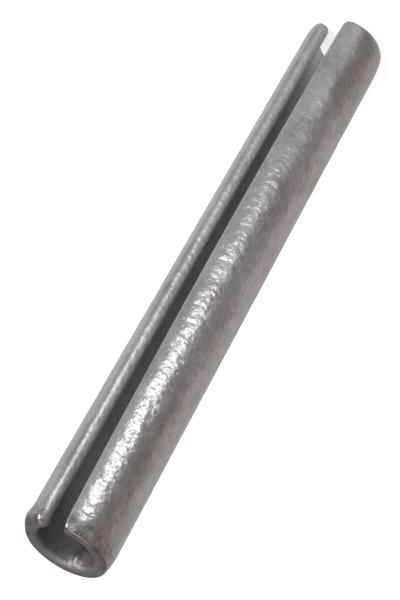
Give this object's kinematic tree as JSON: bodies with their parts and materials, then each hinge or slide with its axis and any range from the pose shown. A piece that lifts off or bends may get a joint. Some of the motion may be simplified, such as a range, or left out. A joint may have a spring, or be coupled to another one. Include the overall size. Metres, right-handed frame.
{
  "type": "roll pin",
  "caption": "Slotted spring pin: a strip of spring steel rolled into an open tube with swaged lead-in ends, driven into a drilled hole to pin parts together.",
  "frame": {"origin": "on the pin's axis, half way along its length", "axes": "+Z along the pin's axis, -Y out through the slot at mid-length. The pin stands on the end at -Z."},
  "size_m": [0.0086, 0.0085, 0.07],
  "materials": {
    "plated_spring_steel": "zinc-plated spring steel, satin, finely dimpled from rolling"
  },
  "bodies": {
    "root": {"roll_pin": "plated_spring_steel"}
  },
  "joints": []
}
